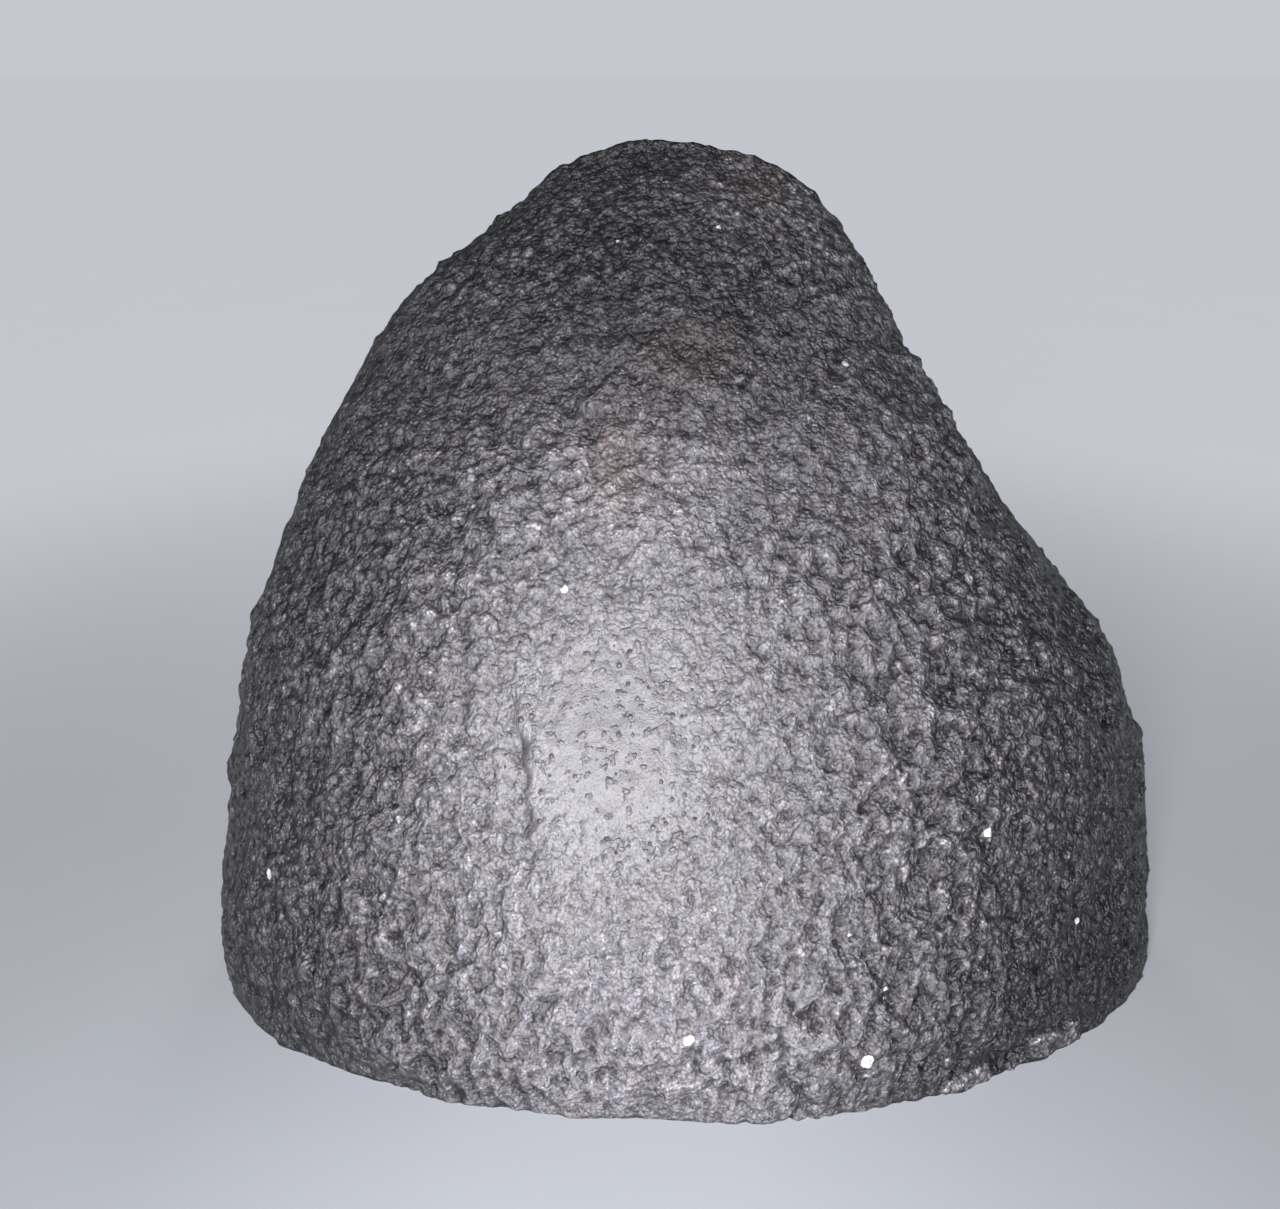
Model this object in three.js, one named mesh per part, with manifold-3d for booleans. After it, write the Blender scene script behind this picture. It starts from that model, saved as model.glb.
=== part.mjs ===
// Amethyst cathedral geode: half of a basalt nodule that stands on a sawn base. One domed side is natural
// crust. The other side was sawn off, which opens the hollow inside and its lining of amethyst points.
// Millimetres, +Z up. The domed side faces -Y and the sawn, open face looks to +Y.
import * as THREE from 'three';
import { mergeVertices } from 'three/addons/utils/BufferGeometryUtils.js';
import Module from 'manifold-3d';

const wasm = await Module();
wasm.setup();

// Crust. Each row is one level of the nodule: its height, how far it reaches to the left and right,
// how far it bulges towards -Y, and the Y at which it is widest.
const LEVELS = [
  [0, -90.5, 92, -51, 3],
  [8, -91, 92, -51.5, 3],
  [26, -89.5, 90.5, -48, 6],
  [43, -87, 88, -41, 9],
  [60, -84.5, 81, -32.5, 13],
  [75, -80, 70, -24, 17],
  [90, -73, 57.5, -14, 21],
  [105, -66, 48, -3, 25],
  [118, -58, 40, 8, 30],
  [130, -46.5, 33.5, 18, 34],
  [139, -34, 27.5, 25.5, 38],
  [145.5, -26, 20, 31.5, 41],
  [149.5, -18, 12.5, 36, 43],
  [151.3, -10, 6, 40, 44],
];
const TOP = 152;
const TOP_Y = 50;
const NOSE_AT_BASE = 8; // X of the most forward point, which drifts to the left above the base
const NOSE_ABOVE = -9;
const NOSE_DRIFT_HEIGHT = 60;
const NOSE_LIMIT = 0.6; // it never goes further out than this part of the way to an edge
const REAR_DEPTH = 95; // from the widest line to the back of the whole nodule, before it was sawn
const REAR_SHRINK = 0.5; // how much of that depth is gone at the top
const LEFT_FULLNESS = [2.25, 1.75]; // superellipse exponents of the plan, at the base and at the top
const RIGHT_FULLNESS = [1.75, 1.9];
const REAR_FULLNESS = 2.2;
const RING_STEPS = 56;
const LEVEL_STEPS = 26;
const LEVEL_CROWDING = 1.1; // levels lie closer together near the top, where the crust turns over

// Saw cut of the open face. It leans back a little from the base.
const CUT_Y = 47;
const CUT_LEAN = THREE.MathUtils.degToRad(2.5);
const CUTTER_SIZE = 400;

// Hollow: an egg with its middle on the open face. It gets narrower and shallower towards the top.
const HOLLOW_FLOOR = 19;
const HOLLOW_MIDDLE = 64;
const HOLLOW_TOP = 135;
const HOLLOW_HALF_WIDTH = 66;
const HOLLOW_HALF_DEPTH = 56;
const HOLLOW_CENTRE_X = -3;
const HOLLOW_SIDE_LEAN = -5;
const HOLLOW_NARROWING = 0.28;
const HOLLOW_SHALLOWING = 0.45;
const HOLLOW_DETAIL = 11;

// Amethyst: six-sided points that stand side by side on a thin bed, and cover the whole hollow.
const CRYSTAL_GAP = 0.3; // clearance between the bed and the wall of the hollow
const CRYSTAL_BED = 3;
const CRYSTAL_HEIGHT = [2.5, 6.5];
const CRYSTAL_DETAIL = 6;
const CRYSTAL_SHIFT = 0.35; // how far a tip may lie to the side, as a part of the spacing of the tips

const levelCurve = new THREE.CubicInterpolant(
  LEVELS.map((row) => row[0]),
  LEVELS.flatMap((row) => row.slice(1)),
  LEVELS[0].length - 1,
);

function mix(pair, amount) {
  return THREE.MathUtils.lerp(pair[0], pair[1], amount);
}

// A repeatable number from 0 to 1 for each count and each use of it.
function scatter(count, use) {
  const wave = Math.sin(count * 12.9898 + use * 78.233) * 43758.5453;
  return wave - Math.floor(wave);
}

function solidFrom(geometry) {
  geometry.deleteAttribute('normal');
  geometry.deleteAttribute('uv');
  const merged = mergeVertices(geometry, 1e-4);
  return new wasm.Manifold(new wasm.Mesh({
    numProp: 3,
    vertProperties: Float32Array.from(merged.attributes.position.array),
    triVerts: Uint32Array.from(merged.index.array),
  }));
}

function geometryFrom(solid) {
  const mesh = solid.getMesh();
  const geometry = new THREE.BufferGeometry();
  geometry.setAttribute('position', new THREE.BufferAttribute(mesh.vertProperties, 3));
  geometry.setIndex(new THREE.BufferAttribute(mesh.triVerts, 1));
  return geometry;
}

function indexedGeometry(positions, indices) {
  const geometry = new THREE.BufferGeometry();
  geometry.setAttribute('position', new THREE.Float32BufferAttribute(positions, 3));
  geometry.setIndex(indices);
  return geometry;
}

// One point of the plan at a height. The angle runs from +X through +Y.
function crustPoint(height, angle) {
  const [left, right, near, widest] = levelCurve.evaluate(height);
  const amount = height / TOP;
  const nose = mix([NOSE_AT_BASE, NOSE_ABOVE], Math.min(1, height / NOSE_DRIFT_HEIGHT));
  const middle = THREE.MathUtils.clamp(nose, left * NOSE_LIMIT, right * NOSE_LIMIT);
  const across = Math.cos(angle);
  const along = Math.sin(angle);
  const frontFullness = mix(across < 0 ? LEFT_FULLNESS : RIGHT_FULLNESS, amount);
  const fullness = along < 0 ? frontFullness : REAR_FULLNESS;
  const reach = (Math.abs(across) ** fullness + Math.abs(along) ** fullness) ** (-1 / fullness);
  const halfWidth = across < 0 ? middle - left : right - middle;
  const depth = along < 0 ? widest - near : REAR_DEPTH * (1 - REAR_SHRINK * amount ** 2);
  return new THREE.Vector3(middle + across * reach * halfWidth, widest + along * reach * depth, height);
}

// The whole nodule as rings from the base to the last level, closed below and above.
function noduleSolid() {
  const lastHeight = LEVELS.at(-1)[0];
  const positions = [];
  for (let level = 0; level <= LEVEL_STEPS; level += 1) {
    const height = lastHeight * Math.sin((level / LEVEL_STEPS) * (Math.PI / 2)) ** LEVEL_CROWDING;
    for (let step = 0; step < RING_STEPS; step += 1) {
      positions.push(...crustPoint(height, (step / RING_STEPS) * Math.PI * 2));
    }
  }
  const baseCentre = positions.length / 3;
  positions.push(0, 0, 0);
  const topCentre = baseCentre + 1;
  const [left, right] = levelCurve.evaluate(lastHeight);
  positions.push((left + right) / 2, TOP_Y, TOP);
  const indices = [];
  for (let step = 0; step < RING_STEPS; step += 1) {
    const next = (step + 1) % RING_STEPS;
    const lastRing = LEVEL_STEPS * RING_STEPS;
    indices.push(baseCentre, next, step);
    indices.push(topCentre, lastRing + step, lastRing + next);
    for (let level = 0; level < LEVEL_STEPS; level += 1) {
      const below = level * RING_STEPS;
      const above = below + RING_STEPS;
      indices.push(below + step, below + next, above + next);
      indices.push(below + step, above + next, above + step);
    }
  }
  return solidFrom(indexedGeometry(positions, indices));
}

// Everything behind the saw cut, on its +Y side.
function cutterSolid() {
  const box = new THREE.BoxGeometry(CUTTER_SIZE, CUTTER_SIZE, CUTTER_SIZE);
  box.translate(0, CUTTER_SIZE / 2, 0);
  box.rotateX(CUT_LEAN);
  box.translate(0, CUT_Y, 0);
  return solidFrom(box);
}

// Where the wall of the hollow lies in a direction from its middle, moved inwards by an inset.
function hollowPoint(direction, inset) {
  const rise = direction.z > 0 ? HOLLOW_TOP - HOLLOW_MIDDLE : HOLLOW_MIDDLE - HOLLOW_FLOOR;
  const halfWidth = HOLLOW_HALF_WIDTH * (1 - HOLLOW_NARROWING * direction.z);
  const halfDepth = HOLLOW_HALF_DEPTH * (1 - HOLLOW_SHALLOWING * direction.z);
  return new THREE.Vector3(
    HOLLOW_CENTRE_X + HOLLOW_SIDE_LEAN * direction.z + (halfWidth - inset) * direction.x,
    CUT_Y + (halfDepth - inset) * direction.y,
    HOLLOW_MIDDLE + (rise - inset) * direction.z,
  );
}

function hollowSolid(inset) {
  const geometry = new THREE.IcosahedronGeometry(1, HOLLOW_DETAIL);
  const position = geometry.attributes.position;
  const direction = new THREE.Vector3();
  for (let index = 0; index < position.count; index += 1) {
    direction.fromBufferAttribute(position, index).normalize();
    position.setXYZ(index, ...hollowPoint(direction, inset));
  }
  return solidFrom(geometry);
}

// The free space inside the lining. A fine icosphere is turned into its honeycomb: each of its corners
// becomes the tip of one crystal, and the middles of the faces around it become the foot of that crystal.
function crystalSpaceSolid() {
  const sphere = new THREE.IcosahedronGeometry(1, CRYSTAL_DETAIL);
  sphere.deleteAttribute('normal');
  sphere.deleteAttribute('uv');
  const merged = mergeVertices(sphere, 1e-4);
  const corners = merged.attributes.position;
  const faces = merged.index.array;
  const positions = [];
  const faceOfSide = new Map();
  for (let face = 0; face < faces.length / 3; face += 1) {
    const middle = new THREE.Vector3();
    for (let side = 0; side < 3; side += 1) {
      const from = faces[face * 3 + side];
      const to = faces[face * 3 + ((side + 1) % 3)];
      faceOfSide.set(`${from},${to}`, face);
      middle.add(new THREE.Vector3().fromBufferAttribute(corners, from));
    }
    positions.push(...hollowPoint(middle.normalize(), CRYSTAL_BED));
  }
  const firstTip = positions.length / 3;
  const spacing = Math.sqrt((4 * Math.PI) / corners.count);
  for (let corner = 0; corner < corners.count; corner += 1) {
    const direction = new THREE.Vector3().fromBufferAttribute(corners, corner);
    const shift = new THREE.Vector3(scatter(corner, 1), scatter(corner, 2), scatter(corner, 3));
    direction.addScaledVector(shift.subScalar(0.5), 2 * spacing * CRYSTAL_SHIFT).normalize();
    positions.push(...hollowPoint(direction, CRYSTAL_BED + mix(CRYSTAL_HEIGHT, scatter(corner, 4))));
  }
  const indices = [];
  for (const [side, face] of faceOfSide) {
    const [from, to] = side.split(',').map(Number);
    indices.push(firstTip + from, faceOfSide.get(`${to},${from}`), face);
  }
  return solidFrom(indexedGeometry(positions, indices));
}

const cutter = cutterSolid();
const stoneSolid = noduleSolid().subtract(cutter).subtract(hollowSolid(0));
const crystalSolid = hollowSolid(CRYSTAL_GAP).subtract(cutter).subtract(crystalSpaceSolid());

const stone = new THREE.Mesh(
  geometryFrom(stoneSolid),
  new THREE.MeshStandardMaterial({ color: 0x4b494c, roughness: 0.5, metalness: 0 }),
);
stone.name = 'stone';

const crystals = new THREE.Mesh(
  geometryFrom(crystalSolid),
  new THREE.MeshStandardMaterial({ color: 0x6b3fa0, roughness: 0.1, metalness: 0 }),
);
crystals.name = 'amethyst_crystals';

// The origin is under the middle of the whole geode, on the plane of its base.
const middle = new THREE.Box3().setFromObject(stone).getCenter(new THREE.Vector3());
const geode = new THREE.Group();
geode.add(stone, crystals);
geode.position.set(-middle.x, -middle.y, 0);

export default geode;
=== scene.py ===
# The look of an amethyst cathedral geode: a dome with a dark, pebbly crust, and on its other side a polished
# saw cut with a band of agate, round a hollow lined with amethyst. y runs from the crust to the cut, z up.
# Names that end in _MM are in millimetres, and so are shapes until mesh_object() scales them to metres.
import itertools
import math
from types import SimpleNamespace

import bmesh
import bpy
import numpy as np
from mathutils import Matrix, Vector
from mathutils.bvhtree import BVHTree


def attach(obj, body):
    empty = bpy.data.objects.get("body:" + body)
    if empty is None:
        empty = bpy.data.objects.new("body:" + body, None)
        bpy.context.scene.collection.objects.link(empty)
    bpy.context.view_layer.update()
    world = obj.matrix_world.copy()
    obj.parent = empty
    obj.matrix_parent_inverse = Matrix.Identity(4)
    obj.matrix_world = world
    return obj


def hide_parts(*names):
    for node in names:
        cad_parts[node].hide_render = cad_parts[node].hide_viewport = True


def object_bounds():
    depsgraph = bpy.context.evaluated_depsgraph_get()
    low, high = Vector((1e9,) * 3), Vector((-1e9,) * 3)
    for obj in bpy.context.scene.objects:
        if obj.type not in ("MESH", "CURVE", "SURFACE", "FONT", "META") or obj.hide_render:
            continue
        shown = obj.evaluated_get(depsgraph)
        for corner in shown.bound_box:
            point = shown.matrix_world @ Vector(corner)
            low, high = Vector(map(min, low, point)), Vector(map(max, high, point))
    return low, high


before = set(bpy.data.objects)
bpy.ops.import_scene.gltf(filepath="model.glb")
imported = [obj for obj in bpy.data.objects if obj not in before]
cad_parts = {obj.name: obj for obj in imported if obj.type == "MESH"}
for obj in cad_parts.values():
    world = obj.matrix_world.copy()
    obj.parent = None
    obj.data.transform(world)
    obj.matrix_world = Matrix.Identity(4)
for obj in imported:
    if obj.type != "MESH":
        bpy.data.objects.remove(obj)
CAD_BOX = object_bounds()

MM = 0.001
LOW_MM = np.array(CAD_BOX[0]) / MM
HIGH_MM = np.array(CAD_BOX[1]) / MM

# The saw cut leans towards the crust. The hinge is its lower edge.
CUT_LEAN = math.radians(2.5)
HINGE_MM = np.array([0, HIGH_MM[1], 0])

# The crust's grid of points: its size, how far round its corners lie, and how near it comes to the base, to
# the cut and to the ends of the hinge.
DETAIL = 1
CRUST_ROWS = int(205 * DETAIL)
CRUST_COLUMNS = int(366 * DETAIL)
CORNER_TURN = math.radians(56)
EDGE_ANGLE = 0.0006
HINGE_ANGLE = 0.004

# How many grid steps the CAD solid's facets are smoothed over, and how many percent of the relief lie
# inside the solid.
FACET_BLUR = 6 * DETAIL
RELIEF_LEVEL = 92

# What a crevice's depth is measured from: the reach of its surroundings in grid steps, and their share.
CREVICE_SURROUNDINGS = ((1.7 * DETAIL, 0.9), (7 * DETAIL, 0.1))

# Where the crust bulges most, the middle and reach of its smoothest patch, and the weight of each axis in
# distances from them.
BELLY_MM = (-12, -31, 58)
CALM_MM = (-14.5, -30, 61)
CALM_REACH_MM = 29
BELLY_AXES = (1, 0.7, 0.85)

# Where the relief is stronger or weaker: the centre and the reach of soft patches.
RIGHT_SIDE_MM = ((34, -26, 56), (24, 30, 28))
LEFT_FOOT_MM = ((-46, -38, 18), (30, 30, 22))
LEFT_BROW_MM = ((-10, -4, 98), (16, 20, 12))
WIDE_BROW_MM = ((6, -8, 96), (34, 34, 24))

# Small white specks: the place and the radius.
SPECKS_MM = [((28, -45.6, 10.6), 1.25), ((-1.6, -47.9, 16.7), 0.95), ((49, -27, 43), 0.8),
             ((27.5, 15.3, 114.3), 0.75), ((4.9, 27, 136.8), 0.35), ((-13.4, 24, 134.5), 0.35),
             ((-76, -20.8, 31), 1), ((-22.3, -15.8, 83), 0.7), ((68.7, -23.9, 23.2), 0.7),
             ((30.8, -42.2, 22.5), 0.4), ((24.5, -40.3, 31.8), 0.35)]

# Patches: the centre, the reach along each axis, and a pit's depth, a knob's rise or a colour's strength.
# Patches in one row of the last list add up.
PITS_MM = [((75.7, -3.3, 53.5), (1.3, 2.4, 2.4), 1.8), ((57, -35, 2.5), (3.2, 3, 2), 1.6),
           ((66, -29.8, 6.2), (1.7, 1.5, 1.4), 1.8), ((44.8, -40.8, 3.8), (1, 1, 1.2), 1.3),
           ((52.5, -37.6, 3), (1.6, 2, 1.8), 1)]
KNOBS_MM = [((41, 26, 113), (1.9, 1.9, 1.9), 1.5), ((-17.6, 3.5, 109.6), (1.7, 1.7, 1.7), 0.8)]
CROWN_STAIN_MM = ((14, 36, 144), (8, 6, 4), 1)
BROWN_MM = [CROWN_STAIN_MM, ((-13, -3, 101), (6, 12, 9), 1), ((-1, 9.5, 116.5), (10, 8, 6), 1)]
# Painted shade: a darker band below the crown.
SHADED_BAND_MM = [((-14, 18, 130), (15, 20, 11), 1), ((8, 19, 126), (9, 20, 7), 0.7)]
# Painted shadow: darker patches at the feet.
SHADOWED_FEET_MM = [((62, -37, 8), (24, 30, 22), 1.9), ((-62, -30, 8), (20, 30, 16), 0.4)]
# Painted highlight: a lighter patch low on the front, below the belly.
HIGHLIT_FOOT_MM = [((-5, -46, 10), (31, 30, 23), 0.75)]
# Painted light and painted shade: rows that darken the belly's brightest part and lighten the brow and the
# flanks. The last row lightens a paler patch near the crown.
PAINTED_LIGHT_AND_CROWN_PATCH_MM = [[((-14, -31, 50), (20, 30, 22), -0.18)], [((-12, -33, 54), (17, 30, 17), -0.24)],
            [((-16, -5, 99), (22, 30, 11), 0.6)], [((-42, -24, 64), (24, 40, 44), 0.26)],
            [((38, -33, 62), (20, 30, 34), 0.17)],
            [((17, 33, 143), (15, 14, 6), 1.5), ((31, 26, 128), (15, 15, 14), 0.6)]]

# The hairline crack's ends, and the ends and width of the pale chips at the lower right edge.
CRACK_MM = ((50.7, 15, 94), (58, 11, 84))
CHIPS_MM = [(((60.7, -33.2, 3.6), (67.5, -28.7, 3.2)), 2.6), (((44.5, -41.3, 0.6), (50.3, -38.7, 1.4)), 2),
            (((56.2, -35.8, 0.8), (58.2, -34.6, 1.4)), 1)]

# The saw cut: its outward normal, the way up its slope, the middle of the hollow's mouth, and a place just
# inside the mouth, from where the hollow's wall is measured.
CUT_NORMAL = np.array([0, math.cos(CUT_LEAN), math.sin(CUT_LEAN)])
CUT_UP = np.array([0, -math.sin(CUT_LEAN), math.cos(CUT_LEAN)])
MOUTH_MM = HINGE_MM + (-3, 0, 0) + 70 * CUT_UP
LOOKOUT_MM = MOUTH_MM - 0.4 * CUT_NORMAL

# The rings of points that close the stone: their share of the way from the base's outline to the hinge, their
# distance from the mouth, and how far round they lie in the hollow.
BASE_RINGS = (0.35, 0.7)
FACE_RINGS_MM = (1.4, 3, 5, 7.5)
WALL_TILTS = np.radians((84, 77, 68, 57, 44, 30, 15))

# The distance from the mouth or the crust where either is far away.
INSIDE_MM = 30

# The kinds of the stone's faces, which number its materials, and the measures that the materials read.
CRUST_KIND, SAWN_KIND, WALL_KIND = 0, 1, 2
STONE_MEASURES = ("crevice", "calm", "wear_and_highlight", "light", "brown", "speck", "band", "edge")

# The druse: a thin bed along the hollow's wall, and on it crystals, the largest first. They stand a share of
# their radii apart, and lean at random and a little towards the mouth.
BED_GAP_MM = 0.3
BED_MM = 3
BED_TURNS = int(140 * DETAIL)
CRYSTAL_RADII_MM = (5.2, 4.2, 3.3, 2.5, 1.9)
CRYSTAL_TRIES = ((400, 900, 1800, 3000, 5000))
CRYSTAL_SPACING = 0.82
CRYSTAL_LEAN = 0.22
MOUTH_LEAN = 0.12

# A crystal: the points of its two rings and its tip, the tip's slope, how deep its foot is sunk and how
# narrow it is. Crystals that are CLEAR_SPACING times their radii apart don't touch.
SIDES = 6
CRYSTAL_POINTS = 2 * SIDES + 1
TIP_SLOPE = math.radians(38)
FOOT_MM = 1.6
FOOT_WIDTH = 0.8
CLEAR_SPACING = 1.9


# ---- noise

RANDOM = np.random.RandomState(7)
SHUFFLE = RANDOM.permutation(256)
SLOPES = RANDOM.normal(size=(256, 3))
SLOPES /= np.linalg.norm(SLOPES, axis=1, keepdims=True)
PLACES = RANDOM.random_sample((256, 4))

# The steps from one seed to the next, the factor that brings swells to about -1 to 1, how far cells are
# scattered, and a distance beyond that of any nearest cell.
SWELL_STEP, CELL_STEP, CODE_STEP = 17.3, 11.7, 31
SWELL_GAIN, SCATTER, FAR_CELL = 1.5, 0.9, 9.0


def cell_code(cells, seed):
    """A repeatable number from 0 to 255 for each whole-numbered cell."""
    cells = cells.astype(int)
    code = SHUFFLE[(cells[:, 2] + seed * CODE_STEP) & 255]
    code = SHUFFLE[(cells[:, 1] + code) & 255]
    return SHUFFLE[(cells[:, 0] + code) & 255]


def swells(points, size, seed):
    """Smooth noise from about -1 to 1, with lumps about as large as the size."""
    scaled = points / size + seed * SWELL_STEP
    whole = np.floor(scaled)
    part = scaled - whole
    blend = part * part * part * (part * (part * 6 - 15) + 10)
    total = np.zeros(len(points))
    for corner in np.ndindex(2, 2, 2):
        step = np.array(corner)
        slope = SLOPES[cell_code(whole + step, seed)]
        weight = np.prod(np.where(step == 1, blend, 1 - blend), axis=1)
        total += weight * np.sum(slope * (part - step), axis=1)
    return total * SWELL_GAIN


def cell_noise(points, size, seed):
    """Distance to the nearest of scattered points, the gap to the second nearest, the nearest's number, and
    how far the place lies along the nearest's slant. Lengths are in cell sizes."""
    scaled = points / size + seed * CELL_STEP
    whole = np.floor(scaled)
    first = np.full(len(points), FAR_CELL)
    second = np.full(len(points), FAR_CELL)
    name = np.zeros(len(points))
    lean = np.zeros(len(points))
    for offset in np.ndindex(3, 3, 3):
        cell = whole + offset - 1
        code = cell_code(cell, seed)
        draw = PLACES[code]
        away = scaled - cell - 0.5 - SCATTER * (draw[:, :3] - 0.5)
        distance = np.linalg.norm(away, axis=1)
        closer = distance < first
        second = np.where(closer, first, np.minimum(second, distance))
        name = np.where(closer, draw[:, 3], name)
        lean = np.where(closer, np.sum(away * SLOPES[code], axis=1), lean)
        first = np.where(closer, distance, first)
    return first, second - first, name, lean


def ramp(low, high, value):
    """0 up to the low limit, 1 from the high limit on, and a smooth rise between."""
    part = np.clip((value - low) / (high - low), 0, 1)
    return part * part * (3 - 2 * part)


def between(rise, fall, value):
    """1 between two soft limits and 0 outside. Each limit is given by where it starts and ends."""
    return ramp(*rise, value) * (1 - ramp(*fall, value))


def patch(points, centre, reach):
    """1 at the centre of a soft oval patch, falling to 0 outside its reach."""
    return np.exp(-np.sum(((points - centre) / reach) ** 2, axis=1))


def patches(points, rows):
    """The sum of several patches, each of its own strength."""
    return sum(strength * patch(points, centre, reach) for centre, reach, strength in rows)


def near_line(points, ends):
    """How far points lie from a line between two ends."""
    start, end = np.array(ends, dtype=float)
    part = np.clip((points - start) @ (end - start) / np.sum((end - start) ** 2), 0, 1)
    return np.linalg.norm(points - start - part[:, None] * (end - start), axis=1)


def blurred(values, reach):
    """A grid smoothed along both of its ways."""
    width = int(reach * 3) + 1
    kernel = np.exp(-0.5 * (np.arange(-width, width + 1) / reach) ** 2)
    kernel /= kernel.sum()
    for axis in (0, 1):
        pads = [(0, 0), (0, 0)]
        pads[axis] = (width, width)
        padded = np.pad(values, pads, mode="reflect", reflect_type="odd")
        values = np.apply_along_axis(lambda line: np.convolve(line, kernel, mode="valid"), axis, padded)
    return values


# ---- the crust's plain shape

CAD_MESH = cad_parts["stone"].data
CAD_STONE = BVHTree.FromPolygons([vertex.co.copy() for vertex in CAD_MESH.vertices],
                                 [tuple(face.vertices) for face in CAD_MESH.polygons])


def fan_direction(turn, climb):
    """Directions from the hinge: turn is to the side, climb is up."""
    return np.stack([np.sin(turn), -np.cos(turn) * np.cos(climb), np.cos(turn) * np.sin(climb)], axis=-1)


def flat_chart(direction):
    """The equal-area map of the directions round the middle of the fan, to a plane."""
    side, back, up = direction[..., 0], -direction[..., 1], direction[..., 2]
    middle = (back + up) / math.sqrt(2)
    lift = (up - back) / math.sqrt(2)
    scale = np.sqrt(2 / (1 + middle))
    return np.stack([side * scale, lift * scale], axis=-1)


def unchart(flat):
    """The direction that flat_chart() maps to a point."""
    square = np.sum(flat ** 2, axis=-1)
    scale = np.sqrt(1 - square / 4)
    side = flat[..., 0] * scale
    lift = flat[..., 1] * scale
    middle = 1 - square / 2
    return np.stack([side, -(middle - lift) / math.sqrt(2), (middle + lift) / math.sqrt(2)], axis=-1)


def crust_directions():
    """A grid of directions with even steps. Its bottom row follows the base, its top row the saw cut, and
    the middles of its left and right sides are at the ends of the hinge."""
    low, high = EDGE_ANGLE, math.pi / 2 - CUT_LEAN - EDGE_ANGLE
    across = np.linspace(-CORNER_TURN, CORNER_TURN, CRUST_COLUMNS)
    bottom, top = [flat_chart(fan_direction(across, climb)) for climb in (low, high)]
    half = CRUST_ROWS // 2
    end = math.pi / 2 - HINGE_ANGLE
    turns = np.concatenate([np.linspace(CORNER_TURN, end, half),
                            np.linspace(end, CORNER_TURN, CRUST_ROWS - half)])
    right = flat_chart(fan_direction(turns, np.where(np.arange(CRUST_ROWS) < half, low, high)))
    left = right * (-1, 1)
    u = np.linspace(0, 1, CRUST_COLUMNS)[None, :, None]
    v = np.linspace(0, 1, CRUST_ROWS)[:, None, None]
    sides = (1 - u) * left[:, None] + u * right[:, None]
    ends = (1 - v) * bottom[None] + v * top[None]
    corners = (1 - u) * ((1 - v) * bottom[0] + v * top[0]) + u * ((1 - v) * bottom[-1] + v * top[-1])
    return unchart(sides + ends - corners)


def crust_shape():
    """A grid of points on the solid's outside, with its facets smoothed."""
    hinge = Vector(HINGE_MM * MM)
    ways = crust_directions()
    reach = np.zeros(ways.shape[:2])
    for place in np.ndindex(reach.shape):
        way = Vector(ways[place])
        reach[place] = (CAD_STONE.ray_cast(hinge + way, -way)[0] - hinge).length
    return HINGE_MM + ways * blurred(reach, FACET_BLUR)[..., None] / MM


def grid_normals(points):
    """Outward normals. At the grid's corners, where its two ways coincide, they are a neighbour's."""
    normal = np.cross(np.gradient(points, axis=1), np.gradient(points, axis=0))
    ends = ((slice(0, 4), 4), (slice(-4, None), -5))
    for (rows, row), (columns, column) in itertools.product(ends, ends):
        normal[rows, columns] = normal[row, column]
    return normal / np.linalg.norm(normal, axis=-1, keepdims=True)


# ---- the crust's relief

def billow(points, size, seed):
    """Rounded lumps with sharp creases between them, from 0 in the creases to about 1."""
    return np.minimum(np.abs(swells(points, size, seed)) * 2.2, 1.3) ** 0.8


def cell_domes(points, size, seed):
    """Round pebbles of uneven height, from 0 between them to about 1."""
    near, _, name, _ = cell_noise(points, size, seed)
    return (1 - np.minimum(near * 1.25, 1) ** 2) * (0.35 + 0.65 * name)


def plates(points, size, seed, count=5):
    """Flat plates with ragged outlines, one above the other, with a steep step at each edge."""
    level = count * (swells(points, size, seed) + 0.35 * swells(points, size * 0.35, seed + 1))
    part = level - np.floor(level)
    return (np.floor(level) + ramp(0.72, 1, part)) / count


def cell_flakes(points, size, seed):
    """Flat flakes, each raised and tilted its own way, with a narrow groove between them."""
    _, gap, name, lean = cell_noise(points, size, seed)
    return 0.55 * (name + lean) - 0.4 * (1 - ramp(0, 0.14, gap))


# The layers of the relief: what makes each, the size of its shapes, its height and its seed. The coarse ones
# are stretched upright, but level on the roof.
COARSE_LAYERS_MM = {"knobs": (billow, 9.5, 0.45, 21), "lumps": (billow, 4, 0.7, 22),
                    "domes": (cell_domes, 2.5, 1.2, 23), "flakes": (cell_flakes, 3.4, 0.45, 26),
                    "plates": (plates, 6.5, 0.7, 28)}
CHIPS_LAYER_MM = (cell_flakes, 1.9, 0.25, 27)
RIDGES_LAYER_MM = (billow, 3.7, 0.8, 25)
PEBBLES_LAYER_MM = (cell_domes, 1.75, 0.65, 24)
UPRIGHT, FINE_UPRIGHT, RIDGE_UPRIGHT, LEVEL = (1, 1, 0.5), (1, 1, 0.8), (1, 1, 0.3), (0.85, 1, 1)

# The smooth patch's pimples: their spacing, width and height, and the share of places without one.
PIMPLE_STEP_MM, PIMPLE_MM, PIMPLE_RISE_MM, NO_PIMPLE = 3.6, 0.75, 0.35, 0.55

# The ledges' width and height, and the long crease's place, half width, step and depth.
LEDGE_WIDTH_MM, LEDGE_RISE_MM = 7.5, 0.85
CREASE_ACROSS_MM, CREASE_HALF_MM, CREASE_STEP_MM, CREASE_DEPTH_MM = -30, 0.75, 0.6, 1.05

# The height of single marks, and half the crack's width.
SPECK_RISE_MM, CHIP_RISE_MM, CRACK_DEPTH_MM, CRACK_HALF_MM = 0.5, 0.7, 0.9, 0.7


def belly_distance(points, centre):
    """How far points lie from a centre on the belly, by the weights of the axes."""
    return np.linalg.norm((points - centre) * BELLY_AXES, axis=1)


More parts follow.
